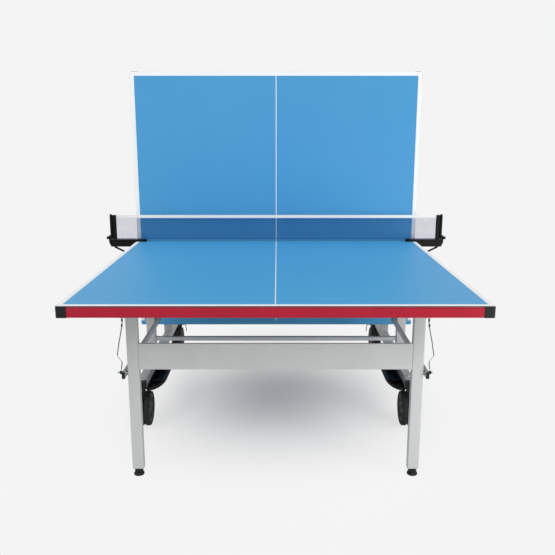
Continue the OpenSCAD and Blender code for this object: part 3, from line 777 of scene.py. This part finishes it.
PIVOT_Z = SURFACE_Z + 20 * MM
CHANNEL_W = 20 * MM
POST_D = 15 * MM
BOLT_R, BOLT_L, BOLT_IN = 4 * MM, 34 * MM, 10 * MM
KNOB_D, KNOB_L = high("net_posts")[1] - low("net_posts")[1], 12.5 * MM
post_x = net_hi[0]
knob_x, _, post_top = high("net_posts")
channel_low = (post_x, net_y - POST_D / 2, PIVOT_Z)
channel_high = (post_x + CHANNEL_W, net_y + POST_D / 2, high("net_tape")[2])
tube_x = post_x + CHANNEL_W + POST_D / 2
post_grids = both_sides([
    bar(channel_low, channel_high, 2, 3 * MM, 1.5 * MM),
    turned(cylinder(POST_D / 2, 0, CHANNEL_W), (post_x, net_y, PIVOT_Z), 0, 28),
    domed_rod((tube_x, net_y, PIVOT_Z), (tube_x, net_y, post_top - POST_D / 2), POST_D / 2),
    turned(cylinder(BOLT_R, 0, BOLT_L), (post_x + BOLT_IN, net_y, PIVOT_Z), 0, 20),
    turned(knob_profile(KNOB_D, KNOB_L), (knob_x, net_y, PIVOT_Z), 0, 28),
])
posts = mesh_from("net_post_tubes", post_grids, 50.0)
finish_piece(posts, ENAMEL, "net_set", "black_enamel", "net_posts")


# %% Levers
LEVER_R, LEVER_L = 5 * MM, 92 * MM
LEVER_TURN = math.radians(47)
LEVER_DIP = 0.16
lever_top = high("net_clamp_levers")[2]
root = np.array([post_x + CHANNEL_W / 2, net_y, lever_top - LEVER_R])
tip = root + np.array([-math.sin(LEVER_TURN), -math.cos(LEVER_TURN), -LEVER_DIP]) * LEVER_L
boss = np.array([(0, -9), (5, -9), (7, -7), (7, 0), (0, 0)]) * MM
levers = mesh_from("net_clamp_rods", both_sides([
    domed_rod(root, tip, LEVER_R), turned(boss, (root[0], net_y, lever_top), 2, 24),
]), 50.0)
finish_piece(levers, ENAMEL, "near_top", "black_enamel", "net_clamp_levers")


# %% [markdown]
# ## Net clamps
# A clamp's arm lies on the sheet and ends round. Its block hangs outside the sheet, cut off at a
# slant below, with a jaw and a round pad under the sheet. An upright plate carries the hinge bolt
# of the post in a real bore. These are simple solids that meet, so each is a small grid of its
# own. The plate needs no boolean: one loop runs round its edge and one round the bore, with as
# many points in the same directions.

# %% Clamp shapes
CLAMP_W = 24 * MM
CLAMP_IN = 58 * MM
JAW_IN, JAW_OUT, JAW_BACK = 38 * MM, 2 * MM, 8 * MM
JAW_LOW, JAW_TOP = 22 * MM, 14 * MM
PAD_R, PAD_H = 6 * MM, 10 * MM
PAD_IN, PAD_BACK, PAD_SUNK = 24 * MM, 8 * MM, 1 * MM
ARM_T = 12 * MM
PLATE_T = 5 * MM
SLANT_W = 11 * MM
SIDE_GAP = 1.5 * MM
SOFT = 0.8 * MM
BOLT_BORE = BOLT_R + 0.6 * MM


def prism(outline, y0, y1, bevel=SOFT):
    """A convex outline of (x, z) points carried along y, its two end faces slightly inset."""
    outline = np.array(outline)
    middle = outline.mean(0)
    away = outline - middle
    inner = middle + away * (1 - bevel / np.linalg.norm(away, axis=1))[:, None]
    point = np.repeat(middle[None], len(outline), 0)
    rows = [(point, y0), (inner, y0), (outline, y0 + bevel)]
    rows += [(outline, y1 - bevel), (inner, y1), (point, y1)]
    points = [np.stack([loop[:, 0], np.full(len(loop), y), loop[:, 1]], -1) for loop, y in rows]
    return np.array(points), False, True


def bored_plate(x0, x1, lo, hi, centre, bore, corner=2 * MM, steps=96):
    """A plate across x with rounded corners, from lo to hi in (y, z), and a round bore in it.

    The rounded rectangle is what 32 straight cuts leave, square to 32 directions all round. In
    each direction from the bore's centre, its edge lies at the nearest cut.
    """
    angle = (np.arange(steps) + 0.5) * 2 * np.pi / steps
    run = np.stack([np.cos(angle), np.sin(angle)], -1)
    turn = np.arange(32) * np.pi / 16
    normal = np.stack([np.cos(turn), np.sin(turn)], -1)
    lo, hi, centre = np.array(lo), np.array(hi), np.array(centre)
    middle, straight = (lo + hi) / 2, (hi - lo) / 2 - corner
    cut = np.abs(normal) @ straight + corner - normal @ (centre - middle)
    facing = run @ normal.T
    out = np.where(facing > 1e-6, cut / np.maximum(facing, 1e-6), np.inf).min(1)
    hole, edge = centre + bore * run, centre + out[:, None] * run
    rows = [(hole, x0), (edge, x0), (edge, x1), (hole, x1)]
    points = [np.concatenate([np.full((steps, 1), x), loop], 1) for loop, x in rows]
    return np.array(points), True, True


# %% Clamps
clamp_lo, clamp_hi = low("net_clamps"), high("net_clamps")
near_y, far_y = net_y - CLAMP_W / 2, net_y + CLAMP_W / 2
end_r = CLAMP_W / 2
arm_x = HALF_W - CLAMP_IN + end_r
block_in, block_out = HALF_W + SIDE_GAP, clamp_hi[0]
block_top, slant_top = SURFACE_Z + 1 * MM, SURFACE_Z - 4 * MM
block = [
    (block_in, clamp_lo[2]), (block_out - SLANT_W, clamp_lo[2]), (block_out, slant_top),
    (block_out, block_top), (block_in, block_top),
]
arm_end = [(0, 0), (end_r, 0), (end_r, ARM_T - SOFT), (end_r - SOFT, ARM_T), (0, ARM_T)]
plate_low, plate_high = (near_y, SURFACE_Z), (far_y, clamp_hi[2])
jaw_low = (HALF_W - JAW_IN, near_y, SURFACE_Z - JAW_LOW)
jaw_high = (HALF_W + JAW_OUT, far_y - JAW_BACK, SURFACE_Z - JAW_TOP)
pad_at = (HALF_W - PAD_IN, near_y + PAD_BACK, SURFACE_Z - JAW_TOP - PAD_SUNK)
clamps = mesh_from("net_clamp_blocks", both_sides([
    prism(block, near_y, far_y),
    bar((arm_x, near_y, SURFACE_Z), (block_out, far_y, SURFACE_Z + ARM_T), 0, SOFT),
    turned(np.array(arm_end), (arm_x, net_y, SURFACE_Z), 2, 40),
    bored_plate(
        block_out - PLATE_T, block_out, plate_low, plate_high, (net_y, PIVOT_Z), BOLT_BORE
    ),
    bar(jaw_low, jaw_high, 0, 1.5 * MM),
    turned(cylinder(PAD_R, 0, PAD_H), pad_at, 2, 24),
]))
finish_piece(clamps, ENAMEL, "near_top", "black_enamel", "net_clamps")


# %% [markdown]
# ## Trays
# Each near rail carries a moulded tray with a shallow pocket and a deep one. Both are D-shaped:
# the near end is a quarter of an ellipse. A box with a Solidify wall would have the same edge
# everywhere, but a moulding is softer where it turns. So the skin is one closed grid of such
# outlines: down the outside with soft edges, across the floor and up the inside.

# %% Tray outline
TRAY_W = RAIL_IN - low("tray_right")[0]
TRAY_L = high("tray_right")[1] - low("tray_right")[1]
TRAY_SKIN = 3 * MM
TRAY_CORNER = 3 * MM
# A pocket's shape: the place of its inner side and near end, and the length of its curve.
SHALLOW = (0.0, 0.0, 142 * MM)
DEEP = (22 * MM, 118 * MM, 60 * MM)


def d_outline(shape, inset, least, most):
    """D-shaped loop: a quarter ellipse at the near end and cut corners at the far end.

    The inner side and the curve stand in by the inset. The side by the rail and the far end
    stand in by the same, kept between least and most.
    """
    inner, near, curve = shape
    held = min(max(inset, least), most)
    inner, outer, far = inner + inset, TRAY_W - held, TRAY_L - held
    angle = np.linspace(0, np.pi / 2, 25)
    x = outer - (outer - inner) * np.cos(angle)
    y = near + curve - (curve - inset) * np.sin(angle)
    cut = TRAY_CORNER
    corners = [(outer, far - cut), (outer - cut, far), (inner + cut, far), (inner, far - cut)]
    return np.concatenate([np.stack([x, y], -1), corners])


# %% Trays
RIB_NEAR, RIB_FAR, RIB_DEEP = 103 * MM, 109 * MM, 16.5 * MM
FLANGE_NEAR, FLANGE_W = 30 * MM, 20 * MM


def tray_grids():
    """The tray's skin, the rib between its pockets and the flange under the rail.

    A row of the skin gives its outline, how far it stands in and its depth, both in millimetres.
    """
    deep = (high("tray_right")[2] - low("tray_right")[2]) / MM
    outside = [
        (SHALLOW, 0, 0), (SHALLOW, 0, 9), (SHALLOW, 1.2, 13), (SHALLOW, 4.2, 16.6),
        (SHALLOW, 9, 18), (DEEP, -2.5, 18), (DEEP, -0.6, 19), (DEEP, 0, 21),
        (DEEP, 0.4, deep - 12), (DEEP, 2.5, deep - 6), (DEEP, 6.5, deep - 1.8), (DEEP, 12, deep),
    ]
    inside = [
        (DEEP, 13, deep - 3), (DEEP, 8.5, deep - 4.2), (DEEP, 5, deep - 8), (DEEP, 3.4, deep - 13),
        (DEEP, 3, 18), (DEEP, 2, 15.8), (DEEP, 0, 15), (SHALLOW, 11, 15), (SHALLOW, 6.8, 13.8),
        (SHALLOW, 4.2, 11), (SHALLOW, 3, 8), (SHALLOW, 3, 0),
    ]
    loops = [d_outline(shape, inset * MM, 0, 2 * MM) for shape, inset, _ in outside]
    floor_middle = np.broadcast_to((TRAY_W * 0.6, TRAY_L * 0.7), loops[0].shape)
    loops += [floor_middle, floor_middle]
    loops += [d_outline(shape, inset * MM, TRAY_SKIN, 4 * MM) for shape, inset, _ in inside]
    depths = [row[2] for row in outside] + [deep, deep - TRAY_SKIN / MM]
    depths += [row[2] for row in inside]
    skin = np.empty((len(loops), len(loops[0]), 3))
    skin[..., :2] = np.array(loops)
    skin[..., 2] = -np.array(depths)[:, None] * MM
    rail_side = TRAY_W - 2 * MM
    rib = bar((4.5 * MM, RIB_NEAR, -RIB_DEEP), (rail_side, RIB_FAR, 0), 0, 1.5 * MM)
    flange_low = (rail_side, FLANGE_NEAR, -TRAY_SKIN)
    flange = bar(flange_low, (rail_side + FLANGE_W, TRAY_L, 0), 1, 1 * MM)
    corner = np.array([RAIL_IN - TRAY_W, low("tray_right")[1], high("tray_right")[2]])
    return [(points + corner, *wraps) for points, *wraps in ((skin, True, True), rib, flange)]


for name, way in (("tray_right", 1), ("tray_left", -1)):
    grids = [(points * np.array([way, 1, 1]), *wraps) for points, *wraps in tray_grids()]
    tray = mesh_from(f"{name}_moulding", grids, 50.0)
    finish_piece(tray, BLACK, "chassis", "black_plastic", name)


# %% [markdown]
# ## Release cables
# Each leg carries a cable from a guide down to the housing of its lock pin. It is held at both
# ends, so it hangs nowhere, and its route repeats the CAD model's points: x outward from its
# place in the guide, and height. It could be a curve object with a bevel. But its width changes
# within millimetres, from the sheath to bare wire and to the sleeve at the pin, so it is a grid
# of rings on a smooth curve through the points. Two black ferrules hold the sheath.

# %% Cable route
ROUTE = np.array([
    (0, 655), (0, 640), (3, 620), (9, 590), (16, 560), (21, 530),
    (25, 508), (20, 496), (11, 483), (9, 472), (11, 460), (13, 448),
]) * MM
ROUTE_TOP = ROUTE[0, 1]
CABLE_IN = STRUT_IN + 4 * MM
SHEATH_R = 2.0 * MM
WIRE_R = 0.9 * MM
BARE_LOW, BARE_HIGH, BARE_STEP = 480 * MM, 507 * MM, 3 * MM
CABLE_SIDES = 12


def smooth_route(p, n=8):
    """Catmull-Rom curve through the points, n steps to a stretch."""
    q = np.concatenate([p[:1], p, p[-1:]])
    t = np.linspace(0, 1, n, endpoint=False)[:, None]
    parts = [
        0.5 * (2 * b + (c - a) * t + (2 * a - 5 * b + 4 * c - d) * t**2
               + (3 * b - a - 3 * c + d) * t**3)
        for a, b, c, d in zip(q, q[1:], q[2:], q[3:])
    ]
    return np.concatenate(parts + [p[-1:]])


def cable_base(half):
    """What is added to a point of the route: its x, the cable's y, and the lift of its half."""
    lo, hi = low(f"{half}_cables"), high(f"{half}_cables")
    return CABLE_IN, (lo[1] + hi[1]) / 2, hi[2] - ROUTE_TOP


def cable_grid(half):
    """A tube round the route, thin where the wire is bare between sheath and sleeve.

    The radius falls and rises again in straight steps 3 mm long. A ring stands square to the
    route, whose direction is the difference between the points beside it.
    """
    base_x, cable_y, base_z = cable_base(half)
    path = smooth_route(ROUTE)
    run = np.gradient(path, axis=0)
    run /= np.linalg.norm(run, axis=1)[:, None]
    height = path[:, 1]
    above = np.clip((height - BARE_LOW) / BARE_STEP, 0, 1)
    below = np.clip((BARE_HIGH - height) / BARE_STEP, 0, 1)
    radius = (SHEATH_R + (WIRE_R - SHEATH_R) * above * below)[:, None]
    angle = np.linspace(0, 2 * np.pi, CABLE_SIDES, endpoint=False)
    rings = np.empty((len(path), CABLE_SIDES, 3))
    rings[..., 0] = base_x + path[:, :1] - run[:, 1:] * np.cos(angle) * radius
    rings[..., 1] = cable_y + np.sin(angle) * radius
    rings[..., 2] = base_z + path[:, 1:] + run[:, :1] * np.cos(angle) * radius
    first, last = rings[:1].mean(1, keepdims=True), rings[-1:].mean(1, keepdims=True)
    ends = [np.repeat(end, CABLE_SIDES, 1) for end in (first, last)]
    return [(np.concatenate([ends[0], rings, ends[1]]), False, True)]


# %% Cables and ferrules
FERRULE = np.array([(0, -5), (2.6, -5), (3.4, -4), (3.4, 4), (2.6, 5), (0, 5)]) * MM
FERRULES_AT = np.array([(0.5, 647), (2.2, 626)]) * MM
for half in ("near", "far"):
    cable = mesh_from(f"{half}_release_cables", both_sides(cable_grid(half)), 50.0)
    finish_piece(cable, SHEATH, f"{half}_leg_frame", "cable_sheath", f"{half}_cables")
    base_x, cable_y, base_z = cable_base(half)
    beads = [turned(FERRULE, (base_x + x, cable_y, base_z + z), 2, 20) for x, z in FERRULES_AT]
    ferrules = mesh_from(f"{half}_cable_ferrules", both_sides(beads), 50.0)
    finish_piece(ferrules, BLACK, f"{half}_leg_frame", "black_plastic")


# %% [markdown]
# ## CAD nodes that stay
# Bolts, pins, caps, blocks, forks, slide tubes and brake levers have their true shape already, so
# nothing is drawn over them. Each one gets the material of its slot in the record.

# %% Finishes of the CAD nodes
FINISH = {
    "frame_paint": SILVER, "black_plastic": BLACK, "zinc_steel": ZINC, "black_enamel": ENAMEL,
    "hub_plastic": HUB, "tyre_rubber": RUBBER, "cable_sheath": SHEATH, "apron_paint": RED,
    "top_sheet": NEAR_COURT, "net_fabric": THREAD, "net_tape": TAPE,
}
for part in frame["record"]["subparts"]:
    node = nodes[part["node"]]
    node.data.materials.clear()
    node.data.materials.append(FINISH[part["material_slot"]])


# %% [markdown]
# ## Stage
# A plain pale floor, a pale world, two broad suns and a small lamp low at the right, which
# lightens the right-hand legs. The world shows its background value only to the camera and to
# reflections, so the light on the table stays level. A backdrop could hide the horizon, but it
# would stand in the way of the other views. So the floor keeps the table's shadow in a pool round
# it and fades into the world's background value further out.

# %% Floor
PALE = 0.905
# The diffuse colour that comes out at about PALE in this light.
LIT_FLOOR = 1.06
FLOOR_REACH = 60.0
POOL_MIDDLE = (0.0, 0.2, 0.0)
POOL_SIZE = (0.82, 1.2, 1.0)


def grey(value):
    """The same value in red, green and blue."""
    return (value, value, value, 1)


floor_mesh = bpy.data.meshes.new("floor")
corners = [(x * FLOOR_REACH, y * FLOOR_REACH, 0) for x, y in ((-1, -1), (1, -1), (1, 1), (-1, 1))]
floor_mesh.from_pydata(corners, [], [(0, 1, 2, 3)])
floor = bpy.data.objects.new("floor", floor_mesh)
bpy.context.scene.collection.objects.link(floor)
floor_material, tree, shader, coords = new_material("floor_pale", 0.9)
shader.inputs["Base Color"].default_value = (0.88, 0.88, 0.885, 1)
shader.inputs["Specular IOR Level"].default_value = 0.1
from_middle = put(
    tree, "ShaderNodeVectorMath", {0: coords}, operation="SUBTRACT", i1=POOL_MIDDLE
)
in_pools = put(
    tree, "ShaderNodeVectorMath", {0: from_middle.outputs[0]}, operation="DIVIDE", i1=POOL_SIZE
)
away = put(tree, "ShaderNodeVectorMath", {0: in_pools.outputs[0]}, operation="LENGTH")
# About an eighth of the plain value in the middle, and all of it from 1.2 pool sizes outward.
fade = put(
    tree, "ShaderNodeMapRange", {"Value": away.outputs["Value"]},
    interpolation_type="SMOOTHSTEP", i1=0.0, i2=1.2, i3=0.12, i4=1.0,
)
shaded = put(tree, "ShaderNodeBsdfDiffuse", Color=grey(LIT_FLOOR))
plain = put(tree, "ShaderNodeEmission", Color=grey(PALE), Strength=1.0)
pool = put(
    tree, "ShaderNodeMixShader", {0: fade.outputs[0], 1: shaded.outputs[0], 2: plain.outputs[0]}
)
camera_sees = put(tree, "ShaderNodeLightPath").outputs["Is Camera Ray"]
floor_shown = put(
    tree, "ShaderNodeMixShader", {0: camera_sees, 1: shader.outputs[0], 2: pool.outputs[0]}
)
tree.links.new(floor_shown.outputs[0], tree.nodes["Material Output"].inputs["Surface"])
floor_mesh.materials.append(floor_material)

# %% World
world = bpy.data.worlds.new("studio")
bpy.context.scene.world = world
world.use_nodes = True
tree = world.node_tree
light = tree.nodes["Background"]
light.inputs["Color"].default_value = grey(1)
light.inputs["Strength"].default_value = 0.4
background = put(tree, "ShaderNodeBackground", Color=grey(PALE), Strength=1.0)
rays = put(tree, "ShaderNodeLightPath").outputs
in_view = combine(tree, "MAXIMUM", rays["Is Camera Ray"], rays["Is Glossy Ray"])
world_shown = put(
    tree, "ShaderNodeMixShader", {0: in_view, 1: light.outputs[0], 2: background.outputs[0]}
)
tree.links.new(world_shown.outputs[0], tree.nodes["World Output"].inputs["Surface"])


# %% Lamps
def place_lamp(lamp, tilt, turn, location=(0, 0, 0)):
    """Tilts a lamp up from straight down and turns it about z, in degrees."""
    obj = bpy.data.objects.new(lamp.name, lamp)
    obj.rotation_euler = (math.radians(tilt), 0, math.radians(turn))
    obj.location = location
    bpy.context.scene.collection.objects.link(obj)
    print(f"{lamp.name}: {lamp.energy} {'W' if lamp.type == 'AREA' else 'W per square metre'}")


for name, strength, spread, tilt, turn in (("key", 1.27, 50, 42, -28), ("fill", 1.0, 60, 50, 40)):
    lamp = bpy.data.lights.new(name, "SUN")
    lamp.energy = strength
    lamp.angle = math.radians(spread)
    place_lamp(lamp, tilt, turn)

lamp = bpy.data.lights.new("side", "AREA")
lamp.energy = 9.0
lamp.size = 0.6
place_lamp(lamp, 90, 45, (1.7, NET_LINE - 2.2, 0.45))

# %% [markdown]
# ## Camera
# The camera stands in front of the near half, just right of its middle and less than half a
# metre higher than the net, and looks slightly down. Its lens is a little longer than the sensor
# is wide, so the near half is foreshortened without looking stretched. The last cell writes the
# boxes of the CAD model and of the finished one, which have to match.

# %% Camera
CAMERA_ASIDE, CAMERA_AWAY, CAMERA_UP = 7.4 * MM, 3563.8 * MM, 1350.6 * MM
CAMERA_DOWN = 12.6
camera = bpy.data.cameras.new("camera")
camera.lens = 42.616216
camera.sensor_width = 36.0
camera.clip_end = 200.0
camera_obj = bpy.data.objects.new("camera", camera)
camera_obj.location = (CAMERA_ASIDE, NET_LINE - CAMERA_AWAY, CAMERA_UP)
camera_obj.rotation_euler = (math.radians(90 - CAMERA_DOWN), 0, 0)
bpy.context.scene.collection.objects.link(camera_obj)
bpy.context.scene.camera = camera_obj
bpy.context.scene.view_settings.view_transform = "Standard"
